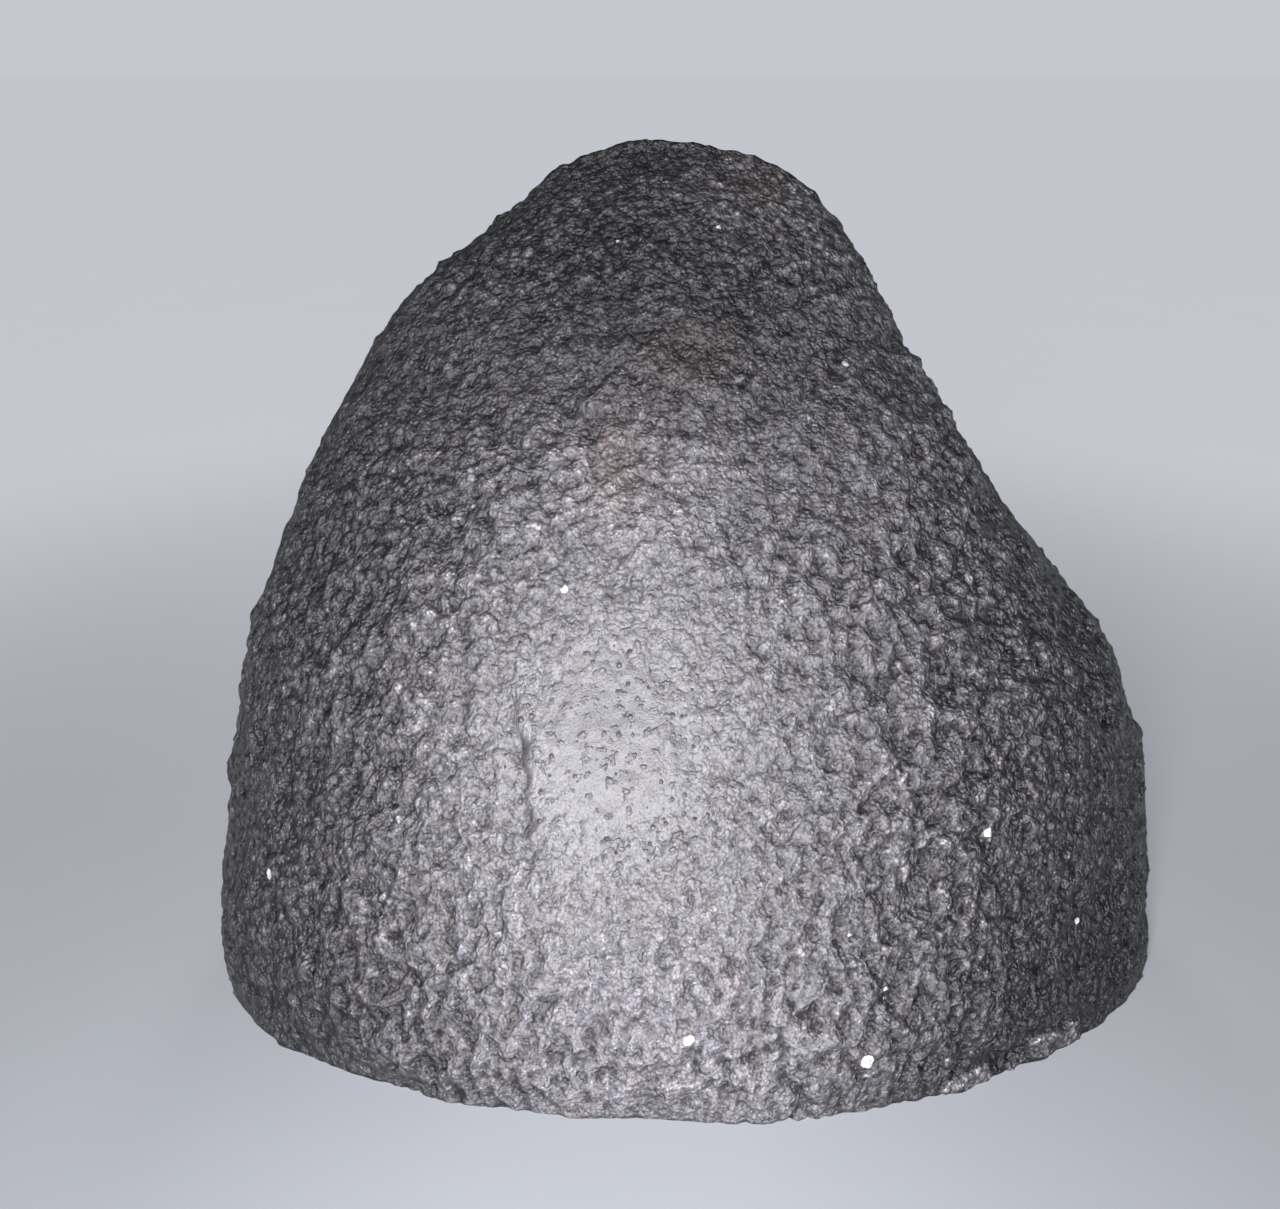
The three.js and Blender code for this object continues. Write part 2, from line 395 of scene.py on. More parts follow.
def long_crease(points):
    """A wandering upright crease left of the belly: how far points lie right of it, and where it runs."""
    wander = 3.4 * swells(points * (0.3, 0.3, 1), 10, 31) + 1.5 * swells(points, 3.6, 32)
    span = between((36, 46), (60, 72), points[:, 2])
    return (points[:, 0] - CREASE_ACROSS_MM - wander) / CREASE_HALF_MM, span


def ledges(points):
    """Low broken steps round the belly, from 0 to 1."""
    away = belly_distance(points, BELLY_MM)
    climb = (away + 5 * swells(points, 17, 4) + 2.2 * swells(points, 6, 5)) / LEDGE_WIDTH_MM
    step = climb - np.floor(climb)
    return step * (1 - ramp(0.8, 1, step)) * ramp(-0.15, 0.35, swells(points, 13, 6))


def edge_strength(points):
    """How strong the relief is: less at the sides, at the foot, on the brows and near the crown."""
    across, up = np.abs(points[:, 0]), points[:, 2]
    strength = 1 - 0.45 * ramp(44, 72, across) - 0.3 * ramp(112, 140, up)
    strength *= 0.35 + 0.65 * ramp(0, 9, up)
    strength *= 1 - 0.45 * between((99, 109), (122, 134), up)
    return strength * (1 - 0.3 * patch(points, *WIDE_BROW_MM))


def ridge_share(points):
    """How far points belong to the upright ridges beside the belly, from 0 to 1."""
    across = points[:, 0]
    share = ramp(13, 24, np.abs(across + 12)) * (1 - ramp(46, 60, np.abs(across)))
    return share * (1 - ramp(88, 98, points[:, 2]))


def relief_layers(points, calm, rough):
    """The sum of the layers of the relief, in millimetres."""
    large = np.stack([swells(points, 9, seed) for seed in (11, 12, 13)], axis=1)
    small = np.stack([swells(points, 3, seed) for seed in (14, 15, 16)], axis=1)
    bent = points + 2.2 * large + 0.9 * small
    strong = rough * edge_strength(points)
    right_side = patch(points, *RIGHT_SIDE_MM)
    busy = strong * (1 - 0.9 * calm) * (1 + 0.15 * right_side + 0.3 * patch(points, *LEFT_FOOT_MM))
    ridged = ridge_share(points)
    roof = ramp(80, 108, points[:, 2])

    height = (swells(points, 27, 1) + 0.6 * swells(points, 13, 2)) * (1 - 0.8 * calm)
    stepped = 1 + 0.4 * right_side + patch(points, *LEFT_BROW_MM)
    height += LEDGE_RISE_MM * ledges(points) * stepped * (1 - calm) ** 2
    shares = {"knobs": 1 - calm, "lumps": 1 - 0.4 * ridged}
    for name, (make, size, rise, seed) in COARSE_LAYERS_MM.items():
        layer = (1 - roof) * make(bent * UPRIGHT, size, seed) + roof * make(bent * LEVEL, size, seed)
        height += rise * layer * busy * shares.get(name, 1)
    for (make, size, rise, seed), place, share in (
            (CHIPS_LAYER_MM, (points + 0.5 * small) * FINE_UPRIGHT, busy),
            (PEBBLES_LAYER_MM, (points + 0.4 * small) * FINE_UPRIGHT, strong * (1 - 0.85 * calm)),
            (RIDGES_LAYER_MM, bent * RIDGE_UPRIGHT, ridged * rough)):
        height += rise * make(place, size, seed) * share
    height *= 1 - 0.4 * ramp(118, 140, points[:, 2])
    near, _, name, _ = cell_noise(points + 0.5 * small, PIMPLE_STEP_MM, 4)
    pimples = np.exp(-(near * PIMPLE_STEP_MM / PIMPLE_MM) ** 2) * (name > NO_PIMPLE)
    return height + PIMPLE_RISE_MM * pimples * calm


def crust_relief(grid):
    """The height of the relief in millimetres, the calmness from 0 to 1, and what crust_tone() gives."""
    points = grid.reshape(-1, 3)
    calm = np.exp(-(belly_distance(points, CALM_MM) / CALM_REACH_MM) ** 2)
    height = relief_layers(points, calm, 1 + 0.5 * swells(points, 18, 3))
    away, span = long_crease(points)
    height += span * (CREASE_STEP_MM * np.tanh(away) - CREASE_DEPTH_MM * np.exp(-away ** 2))
    height = height * (1 - 0.75 * patches(points, [CROWN_STAIN_MM])) + crust_marks(points)
    return [value.reshape(grid.shape[:2]) for value in (height, calm, *crust_tone(points))]


def chip_share(points):
    """How far points belong to the pale chips at the lower right edge, from 0 to 1."""
    shares = [ramp(1.15 * width, 0.8 * width, near_line(points, ends)) for ends, width in CHIPS_MM]
    return np.max(shares, axis=0)


def speck_reach(points):
    """The distance to the nearest white speck, in parts of its radius, and no more than 4."""
    reach = np.full(len(points), 4.0)
    for place, radius in SPECKS_MM:
        away = np.sum((points - place) ** 2, axis=1)
        reach = np.minimum(reach, np.sqrt(away - away.min()) / radius)
    return reach


def crust_marks(points):
    """The height of the single pits, knobs and specks, the crack and the chipped edge."""
    marks = SPECK_RISE_MM * np.exp(-speck_reach(points) ** 2)
    marks += patches(points, KNOBS_MM) - patches(points, PITS_MM)
    marks -= CRACK_DEPTH_MM * np.exp(-(near_line(points, CRACK_MM) / CRACK_HALF_MM) ** 2)
    return marks + CHIP_RISE_MM * chip_share(points)


def crust_painted_shade(points, chips):
    """How far points get painted shade at the crust's far ends and painted shadow at its foot, from 0 to 2.
    """
    across, up = points[:, 0], points[:, 2]
    dark = ramp(58, 76, across) + 0.5 * ramp(50, 76, -across) + patches(points, SHADOWED_FEET_MM)
    dark *= 1 - chips
    dark += 0.5 * ramp(12, 2, up) * ramp(20, 45, np.abs(across))
    return np.minimum(dark, 2)


def crust_tone(points):
    """The mask of wear and painted highlight, from 0 to 1, a factor of the colour with painted light, painted
    shade and pale chips, how brown, and how far from a speck.
    """
    across, up = points[:, 0], points[:, 2]
    # The middle's mask: wear, which evens the grain and the bumps, and painted highlight, which lightens the
    # colour. The band under the brows that is added at the end only evens the grain and the bumps.
    wander = 5 * swells(points, 20, 8)
    middle = -6 + 0.32 * np.maximum(up - 40, 0)
    wear_and_highlight = np.exp(-np.abs((across - middle + wander) / 44) ** 3)
    wear_and_highlight *= 1 - 0.85 * ramp(98, 114, up + wander)
    chips = chip_share(points)
    # Painted highlight: the middle and the low front are lightened.
    light = 1 + wear_and_highlight + patches(points, HIGHLIT_FOOT_MM)
    # Painted shade on the band below the crown.
    light *= 1 - 0.45 * np.minimum(patches(points, SHADED_BAND_MM), 1)
    # Painted shade at the far ends and painted shadow at the foot.
    light *= 1 - 0.38 * crust_painted_shade(points, chips)
    # Painted light and painted shade patches, and a paler patch near the crown.
    for row in PAINTED_LIGHT_AND_CROWN_PATCH_MM:
        light *= 1 + patches(points, row)
    light *= 1 + 1.6 * chips
    # Painted shade in the pits.
    for place, reach, _ in PITS_MM:
        light *= 1 - 0.7 * patch(points, place, reach)
    # Painted shade along the long crease.
    crease_away, crease_span = long_crease(points)
    light *= 1 - 0.5 * crease_span * np.exp(-crease_away ** 2)
    wear_and_highlight = np.maximum(wear_and_highlight, 0.8 * between((96, 108), (120, 130), up))
    return wear_and_highlight, light, np.clip(patches(points, BROWN_MM), 0, 1), speck_reach(points)


def new_object(name, data):
    piece = bpy.data.objects.new(name, data)
    bpy.context.collection.objects.link(piece)
    return piece


def mesh_object(name, points, faces):
    """A new piece from points in millimetres."""
    mesh = bpy.data.meshes.new(name)
    mesh.from_pydata((points * MM).tolist(), [], [list(map(int, face)) for face in faces])
    return new_object(name, mesh)


# ---- the closed stone

class PointList:
    """The points of a mesh that grows by blocks."""

    def __init__(self, first):
        self.blocks = [first]
        self.count = len(first)

    def add(self, block):
        """Adds a block of points, and gives their numbers."""
        numbers = np.arange(self.count, self.count + block.size // 3).reshape(block.shape[:-1])
        self.blocks.append(block.reshape(-1, 3))
        self.count += numbers.size
        return numbers

    def all(self):
        return np.concatenate(self.blocks)


def cut_depth(points):
    """How far points lie in front of the saw cut: negative inside the stone."""
    return (points - HINGE_MM) @ CUT_NORMAL


def wall_distance(ways):
    """How far the hollow's wall lies from the lookout, in millimetres, along each way."""
    start = Vector(LOOKOUT_MM * MM)
    hits = [CAD_STONE.ray_cast(start, Vector(way))[0] for way in ways.reshape(-1, 3)]
    return np.array([(hit - start).length for hit in hits]).reshape(ways.shape[:-1]) / MM


def grid_faces(index):
    """Four-sided faces between the neighbours in a grid of point numbers."""
    corners = [index[:-1, :-1], index[:-1, 1:], index[1:, 1:], index[1:, :-1]]
    return np.stack(corners, axis=-1).reshape(-1, 4)


def ring_faces(rings):
    """Faces between rings of point numbers, each ring a closed loop."""
    return grid_faces(np.concatenate([rings, rings[:, :1]], axis=1))[:, ::-1]


def mouth_ways(loop):
    """The way from the middle of the mouth, along the saw cut, to each point of a loop on the cut."""
    flat = np.stack([(loop - MOUTH_MM) @ (1, 0, 0), (loop - MOUTH_MM) @ CUT_UP], axis=1)
    flat /= np.linalg.norm(flat, axis=1, keepdims=True)
    return flat[:, :1] * (1, 0, 0) + flat[:, 1:] * CUT_UP


def hollow_rings(ways, inset):
    """Rings of points from the mouth to the back of the hollow, at an inset from its wall, and the back."""
    rings = []
    for tilt in (math.pi / 2, *WALL_TILTS):
        turned = math.sin(tilt) * ways - math.cos(tilt) * CUT_NORMAL
        rings.append(MOUTH_MM + turned * (wall_distance(turned) - inset)[:, None])
    return np.array(rings), MOUTH_MM - CUT_NORMAL * (wall_distance(-CUT_NORMAL[None])[0] - inset)


def trimmed_crust(crust):
    """The crust's points with their edges on the base and the cut, and the numbers of all of them, of those
    along the base and of those along the cut."""
    index = np.arange(crust.size // 3).reshape(crust.shape[:2])
    half = len(index) // 2
    base_loop = np.concatenate([index[half:0:-1, 0], index[0], index[1:half + 1, -1]])
    rim_loop = np.concatenate([index[half:-1, -1], index[-1, ::-1], index[-2:half - 1:-1, 0]])
    flat = crust.reshape(-1, 3).copy()
    flat[base_loop, 2] = 0
    flat[rim_loop] -= cut_depth(flat[rim_loop])[:, None] * (0, 1 / CUT_NORMAL[1], 0)
    for end in (base_loop[0], base_loop[-1]):
        flat[end, 1:] = (HINGE_MM[1], 0)
    return flat, index, base_loop, rim_loop


def close_base(mesh, base_loop):
    """Adds rings of points from the base's outline to the hinge: the rings' numbers, and the faces."""
    outline = mesh.all()[base_loop]
    steps = np.concatenate([[0], np.cumsum(np.linalg.norm(np.diff(outline, axis=0), axis=1))])
    across = outline[0, 0] + (outline[-1, 0] - outline[0, 0]) * steps / steps[-1]
    hinge = np.stack([across, np.full(len(across), HINGE_MM[1]), np.zeros(len(across))], axis=1)
    inner = np.array([outline[1:-1] * (1 - part) + hinge[1:-1] * part for part in BASE_RINGS])
    rings = np.concatenate([base_loop[None, 1:-1], mesh.add(inner), mesh.add(hinge[1:-1])[None]])
    ears = [(base_loop[0], low, high) for high, low in zip(rings[:-1, 0], rings[1:, 0])]
    ears += [(base_loop[-1], high, low) for high, low in zip(rings[:-1, -1], rings[1:, -1])]
    return rings, [*grid_faces(rings)[:, ::-1], *ears]


def closed_stone(crust):
    """The crust closed by a base, a sawn face and a hollow: points, faces, the faces' kinds, and how far the
    sawn faces' points lie from the mouth and from the crust."""
    flat, index, base_loop, rim_loop = trimmed_crust(crust)
    mesh = PointList(flat)
    base_rings, base_faces = close_base(mesh, base_loop)

    loop = np.concatenate([rim_loop, base_rings[-1]])
    outer = mesh.all()[loop]
    ways = mouth_ways(outer)
    wall, back = hollow_rings(ways, 0)
    width = np.linalg.norm(outer - wall[0], axis=1)
    evenly = width / (len(FACE_RINGS_MM) + 2)
    away = np.array([np.minimum(ring, evenly * (n + 1)) for n, ring in enumerate(FACE_RINGS_MM)][::-1])
    face_index = mesh.add(wall[0] + ways * away[..., None])
    wall_index = mesh.add(wall)
    back_index = mesh.add(back[None])[0]
    face_faces = ring_faces(np.concatenate([loop[None], face_index, wall_index[:1]]))
    tips = [(there, here, back_index) for here, there in zip(wall_index[-1], np.roll(wall_index[-1], -1))]

    band = np.zeros(mesh.count)
    edge = np.zeros(mesh.count)
    band[loop], band[face_index] = width, away
    edge[face_index], edge[wall_index] = width - away, width
    band[base_rings] = INSIDE_MM
    edge[base_rings[0]], edge[base_rings[1:]] = 0, INSIDE_MM
    parts = [(grid_faces(index), CRUST_KIND), (base_faces, SAWN_KIND), (face_faces, SAWN_KIND),
             (ring_faces(wall_index), WALL_KIND), (tips, WALL_KIND)]
    faces = [face for part, _ in parts for face in part]
    kinds = [kind for part, kind in parts for _ in part]
    return mesh.all(), faces, kinds, band, edge


def make_stone():
    """The stone, with its relief and the measures of its points."""
    plain = crust_shape()
    height, *tones = crust_relief(plain)
    height -= np.percentile(height, RELIEF_LEVEL)
    crust = plain + grid_normals(plain) * height[..., None]
    crust -= np.maximum(cut_depth(crust), 0)[..., None] * CUT_NORMAL
    crust = np.clip(crust, LOW_MM, HIGH_MM)
    points, faces, kinds, band, edge = closed_stone(crust)
    piece = mesh_object("geode_stone", points, faces)
    piece.data.polygons.foreach_set("material_index", kinds)
    piece.data.polygons.foreach_set("use_smooth", [kind != SAWN_KIND for kind in kinds])
    # The crevices' depth, which the crust's colour reads to paint shade in them.
    crevice = height - sum(share * blurred(height, reach) for reach, share in CREVICE_SURROUNDINGS)
    for name, values in zip(STONE_MEASURES, (crevice, *tones, band, edge)):
        attribute = piece.data.attributes.new(name, "FLOAT", "POINT")
        attribute.data.foreach_set("value", np.append(values, np.zeros(len(points) - values.size)))
    return piece


stone = make_stone()
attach(stone, "root")
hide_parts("stone")


# ---- the amethyst druse

def druse_bed():
    """The closed bed of the druse. Its outer side lies along the hollow's wall, and its edge is sawn."""
    turns = np.linspace(0, 2 * math.pi, BED_TURNS, endpoint=False)
    ways = np.cos(turns)[:, None] * (1, 0, 0) + np.sin(turns)[:, None] * CUT_UP
    outer, outer_back = hollow_rings(ways, BED_GAP_MM)
    inner, inner_back = hollow_rings(ways, BED_GAP_MM + BED_MM)
    swell = swells(inner[1:].reshape(-1, 3), 5, 41).reshape(inner[1:].shape[:2])
    inner[1:] += 0.5 * CUT_NORMAL * swell[..., None]
    rings = np.concatenate([outer[::-1], inner])
    index = np.arange(rings.size // 3).reshape(rings.shape[:2])
    outer_pole, inner_pole = index.size, index.size + 1
    faces = [*ring_faces(index)]
    faces += [(here, there, outer_pole) for here, there in zip(index[0], np.roll(index[0], -1))]
    faces += [(there, here, inner_pole) for here, there in zip(index[-1], np.roll(index[-1], -1))]
    points = np.concatenate([rings.reshape(-1, 3), outer_back[None], inner_back[None]])
    return mesh_object("amethyst_druse", points, faces)


def crystal_seats(draw):
    """Places on the bed: each crystal's foot, its way out and its radius."""
    feet = np.zeros((0, 3))
    ways = np.zeros((0, 3))
    sizes = np.zeros(0)
    for radius, tries in zip(CRYSTAL_RADII_MM, CRYSTAL_TRIES):
        for _ in range(tries):
            way = draw.normal(size=3)
            way /= np.linalg.norm(way)
            way -= 2 * max(way @ CUT_NORMAL, 0) * CUT_NORMAL
            _, normal, _, distance = CAD_STONE.ray_cast(Vector(LOOKOUT_MM * MM), Vector(way))
            size = radius * draw.uniform(0.85, 1.15)
            foot = LOOKOUT_MM + way * (distance / MM - BED_GAP_MM - BED_MM)
            if np.any(np.linalg.norm(feet - foot, axis=1) < CRYSTAL_SPACING * (sizes + size)):
                continue
            inward = -np.array(normal) * np.sign(np.array(normal) @ way)
            inward += MOUTH_LEAN * CUT_NORMAL + CRYSTAL_LEAN * draw.normal(size=3)
            feet = np.vstack([feet, foot])
            ways = np.vstack([ways, inward / np.linalg.norm(inward)])
            sizes = np.append(sizes, size)
    return feet, ways, sizes


def crystal(foot, way, radius, draw):
    """The points of a six-sided crystal: lower ring, upper ring and tip."""
    side = np.cross(way, draw.normal(size=3))
    side /= np.linalg.norm(side)
    other = np.cross(way, side)
    turns = np.arange(SIDES) * 2 * math.pi / SIDES + draw.uniform(-0.07, 0.07, SIDES)
    reach = radius * draw.uniform(0.86, 1.06, SIDES)
    ring = (np.cos(turns) * reach)[:, None] * side + (np.sin(turns) * reach)[:, None] * other
    body = radius * draw.uniform(0.1, 0.75)
    tip = body + radius * math.cos(math.pi / SIDES) / math.tan(TIP_SLOPE)
    aside = radius * draw.uniform(-0.16, 0.16, 2)
    top = foot + way * tip + side * aside[0] + other * aside[1]
    shoulder = body + radius * draw.uniform(-0.12, 0.12, SIDES)
    lower = foot + ring * FOOT_WIDTH - way * FOOT_MM
    return [*lower, *(foot + ring + way * shoulder[:, None]), top]


def crystal_faces():
    """The faces of a crystal, by the numbers of its points."""
    faces = [tuple(reversed(range(SIDES)))]
    for side in range(SIDES):
        after = (side + 1) % SIDES
        faces += [(side, after, SIDES + after), (side, SIDES + after, SIDES + side),
                  (SIDES + side, SIDES + after, 2 * SIDES)]
    return faces


def crystal_groups(feet, sizes):
    """Splits the crystals into groups in which none touches another."""
    groups = []
    for number in range(len(feet)):
        for group in groups:
            away = np.linalg.norm(feet[group] - feet[number], axis=1)
            if np.all(away > CLEAR_SPACING * (sizes[group] + sizes[number])):
                group.append(number)
                break
        else:
            groups.append([number])
    return groups


def join_solids(piece, other, way="UNION"):
    """Changes a closed piece by another closed one, which is then removed."""
    change = piece.modifiers.new("join", "BOOLEAN")
    change.operation = way
    change.solver = "MANIFOLD"
    change.object = other
    shape = piece.evaluated_get(bpy.context.evaluated_depsgraph_get())
    mesh = bpy.data.meshes.new_from_object(shape)
    piece.modifiers.clear()
    piece.data = mesh
    bpy.data.objects.remove(other)


def drop_flat_scraps(piece):
    """Removes the loose pairs of faces with the same corners that joining can leave."""
    shape = bmesh.new()
    shape.from_mesh(piece.data)
    scraps = [point for point in shape.verts
              if len({frozenset(face.verts) for face in point.link_faces}) < 2]
    bmesh.ops.delete(shape, geom=scraps, context="VERTS")
    shape.to_mesh(piece.data)
    shape.free()


def saw_block():
    """A block on the outer side of the saw cut, larger than the stone."""
    corners = np.array(list(itertools.product((-100, 100), (0, 80), (-100, 100))))
    corners = MOUTH_MM + corners[:, :1] * (1, 0, 0) + corners[:, 1:2] * CUT_NORMAL + corners[:, 2:] * CUT_UP
    faces = [(0, 1, 3, 2), (4, 6, 7, 5), (0, 4, 5, 1), (2, 3, 7, 6), (0, 2, 6, 4), (1, 5, 7, 3)]
    return mesh_object("saw", corners, faces)


def make_druse():
    """The bed with all its crystals joined to it, cut flush with the sawn face."""
    draw = np.random.RandomState(23)
    piece = druse_bed()
    feet, ways, sizes = crystal_seats(draw)
    shapes = [crystal(*seat, draw) for seat in zip(feet, ways, sizes)]
    faces = crystal_faces()
    for group in crystal_groups(feet, sizes):
        points = np.concatenate([shapes[number] for number in group])
        solids = [tuple(CRYSTAL_POINTS * n + corner for corner in face)
                  for n in range(len(group)) for face in faces]
        join_solids(piece, mesh_object("crystals", points, solids))
    join_solids(piece, saw_block(), "DIFFERENCE")
    drop_flat_scraps(piece)
    piece.data.name = "amethyst_druse"
    return piece


druse = make_druse()
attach(druse, "root")
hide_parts("amethyst_crystals")


# ---- materials

# Colours, as linear red, green, blue and alpha. Pairs are blended.
BASALT = ((0.045, 0.043, 0.048, 1), (0.051, 0.049, 0.053, 1))
GRAIN_HUES = ((1.02, 0.985, 0.985, 1), (0.975, 1, 1.03, 1))
STAIN = (0.05, 0.04, 0.037, 1)
BROWN = (0.058, 0.044, 0.036, 1)
SPECK_WHITE = (0.6, 0.59, 0.57, 1)
QUARTZ = ((0.33, 0.32, 0.36, 1), (0.52, 0.51, 0.55, 1))
AGATE = ((0.13, 0.17, 0.18, 1), (0.36, 0.41, 0.42, 1))
SAWN_ROCK = ((0.022, 0.024, 0.022, 1), (0.075, 0.075, 0.07, 1))
FLECK = (0.24, 0.26, 0.24, 1)
RIND = (0.085, 0.06, 0.045, 1)
SKIN = ((0.55, 0.53, 0.6, 1), (0.75, 0.73, 0.78, 1))
CRYSTAL_TINT = ((0.93, 0.88, 0.98, 1), (0.8, 0.7, 0.93, 1))
AMETHYST = (0.55, 0.05, 0.74, 1)
PALE = (0.9, 0.94, 1, 1)
FLOOR = ((0.22, 0.23, 0.25, 1), (0.25, 0.26, 0.28, 1))

# The ranges that most of a noise's values lie in, and the middle ones.
MOST = (0.3, 0.7)
MIDDLE = (0.35, 0.65)

# The sizes of the crust's coat.
GRAIN_MM, SEED_MM, DUST_MM, POWDER_MM, POOL_MM = 1.6, 0.7, 0.4, 0.5, 3
NUGGET_MM, FLAKE_MM, CHIP_MM, PIMPLE_SPACING_MM = 1.7, 4.5, 2.9, 1.8
BEND_MM, BEND_SHIFT_MM, STAIN_MM, CLOUD_MM = 1.6, 0.5, 6, 22

# The upright stretch of the grain, and the height near the crown where it ends.
GRAIN_STRETCH, ROUND_GRAIN_MM = 0.9, 90

# What the crust's colour is multiplied by, at the low and the high end of each texture. The crevice, step and
# ring factors are painted shade, and the grain factor is painted light on the grains' tops and painted shade
# at their edges.
CREVICE_PAINTED_SHADE = (0.25, 1.3)
SPECKLE_SHADE = (0.75, 2.7)
GRAIN_PAINTED_LIGHT_AND_SHADE = (1.3, 0.35)
POOL_SHADE = (0.8, 1.28)
CHIP_SHADE = (0.96, 1.8)
STEP_PAINTED_SHADE = (1.02, 0.85)
RING_PAINTED_SHADE = (1, 0.7)
POWDER_SHADE = (0.58, 1.42)

# The height of the crust's bumps in millimetres. Domes have a lowest and a highest.
GRAIN_FACETS, GRAIN_DOMES = 0.7, (0.4, 1.1)
SEED_FACETS, SEED_DOMES = 0.8, (0.15, 0.6)
NUGGET_BUMP, FLAKE_BUMP, CHIP_BUMP, DUST_BUMP = 0.6, 0.12, 0.35, 0.28

# Where the sawn face's bands blend into the next, from the mouth, and where the rind ends, from the crust.
QUARTZ_END_MM = (2.4, 3)
AGATE_END_MM = (5.6, 6.1)
RIND_END_MM = (0.8, 2.6)

QUARTZ_IOR = 1.544
CLEARNESS = 0.89
COLOUR_DENSITY = 170


def math_method(operation):
    return lambda value, other: value.nodes.math(operation, value, other)


class Value:
    """A node's output, for sums with others and with numbers."""

    __add__, __sub__ = math_method("ADD"), math_method("SUBTRACT")
    __mul__, __truediv__ = math_method("MULTIPLY"), math_method("DIVIDE")
    __pow__, at_least = math_method("POWER"), math_method("MAXIMUM")

    def __init__(self, nodes, socket):
        self.nodes = nodes
        self.socket = socket

    def __rsub__(self, other):
        return self.nodes.math("SUBTRACT", other, self)

    def spread(self, source, target=(0, 1), way="LINEAR"):
        """The value, with a source range spread over a target range. Each is given by its two ends."""
        ends = {"From Min": source[0], "From Max": source[1], "To Min": target[0], "To Max": target[1]}
        return self.nodes.add("MapRange", "Result", {"Value": self, **ends}, interpolation_type=way)


class Nodes:
    """A short way to write the nodes of a material or a world."""

    def __init__(self, owner, shader="Principled BSDF"):
        self.owner = owner
        owner.use_nodes = True
        self.tree = owner.node_tree
        self.shader = self.tree.nodes[shader]

    def node(self, kind, inputs, **settings):
        node = self.tree.nodes.new("ShaderNode" + kind)
        for key, value in settings.items():
            setattr(node, key, value)
        for key, value in inputs.items():
            self.feed(node.inputs[key], value)
        return node

    def add(self, kind, output, inputs=None, **settings):
        """An output of a new node."""
        return Value(self, self.node(kind, inputs or {}, **settings).outputs[output])

    def feed(self, socket, value):
        if isinstance(value, Value):
            self.tree.links.new(value.socket, socket)
        else:
            socket.default_value = value

    def surface(self, **inputs):
        """Sets the shader's inputs, where Base_Color stands for Base Color, and gives the material."""
        for key, value in inputs.items():
            self.feed(self.shader.inputs[key.replace("_", " ")], value)
        return self.owner

    def coordinates(self):
        return self.add("TexCoord", "Object")

    def measure(self, name):
        return self.add("Attribute", "Fac", attribute_name=name)

    def noise(self, size_mm, detail=2, roughness=0.5, place=None):
        inputs = {"Vector": place or self.coordinates(), "Scale": 1 / (size_mm * MM), "Detail": detail,
                  "Roughness": roughness}
        return self.add("TexNoise", "Fac", inputs)

    def cells(self, place, size_mm):
        """Cells round scattered points: the distance to the nearest, its place, its random colour, and its
        luck, from 0 to 1."""
        node = self.node("TexVoronoi", {"Vector": place, "Scale": 1 / (size_mm * MM)})
        names = ("Distance", "Position", "Color")
        distance, middle, colour = [Value(self, node.outputs[name]) for name in names]
        return SimpleNamespace(distance=distance, middle=middle, colour=colour,
                               luck=self.add("SeparateColor", "Red", {"Color": colour}))

    def math(self, operation, first, second):
        return self.add("Math", "Value", {0: first, 1: second}, operation=operation)

    def vectors(self, operation, first, second, output="Vector"):
        return self.add("VectorMath", output, {0: first, 1: second}, operation=operation)

    def fade(self, factor, value):
        """The value where the factor is 0, and 1 where it is 1."""
        return self.add("Mix", 0, {0: factor, 2: value, 3: 1}, data_type="FLOAT")

    def blend(self, factor, first, second, way="MIX"):
        return self.add("Mix", "Result", {"Factor": factor, "A": first, "B": second}, data_type="RGBA",
                        blend_type=way)

    def bump(self, height, distance_mm, **normal):
        inputs = {"Height": height, "Distance": distance_mm * MM, **normal}
        return self.add("Bump", "Normal", inputs)

    def terraces(self, value, count, flat):
        """The value in steps, each flat for a part, and a value that is 1 in the middle of each rise."""
        whole = value * count
        part = self.math("FRACT", whole, 0)
        rise = part.spread((flat, 1))
        return whole - part + rise, rise * (1 - rise) * 4


def grain_place(nodes):
    """Coordinates that make the grains taller than they are wide, but round near the crown."""
    bend = {0: [side * BEND_SHIFT_MM * MM for side in (1, -1, 1)], "Scale": nodes.noise(BEND_MM)}
    bend = nodes.add("VectorMath", "Vector", bend, operation="SCALE")
    place = nodes.vectors("ADD", nodes.coordinates(), bend)
    across, along, up = [nodes.add("SeparateXYZ", axis, {"Vector": place}) for axis in "XYZ"]
    up = up * GRAIN_STRETCH + (up - ROUND_GRAIN_MM * MM).at_least(0) * (1 - GRAIN_STRETCH)
    return nodes.add("CombineXYZ", "Vector", {"X": across, "Y": along, "Z": up})


def crust_pimples(nodes, place):
    """Scattered round pimples: their height, and the ring round each, where painted shade darkens the colour.
    """
    spots = nodes.cells(place, PIMPLE_SPACING_MM)
    chosen = spots.luck.spread((0.5, 0.52))
    part = spots.distance / spots.luck.spread((0.5, 1), (0.12, 0.3))
    ring = part.spread((0.7, 1)) * part.spread((1, 1.5), (1, 0))
    return part.spread((0.35, 1), (1, 0)) * chosen, ring * chosen


def crust_chips(nodes, place, dust):
    """Scattered ragged chips, from 0 to 1."""
    cells = nodes.cells(place, CHIP_MM)
    ragged = cells.distance + dust.spread(MOST, (-0.06, 0.06))
    return ragged.spread((0.3, 0.42), (1, 0)) * cells.luck.spread((0.62, 0.8))


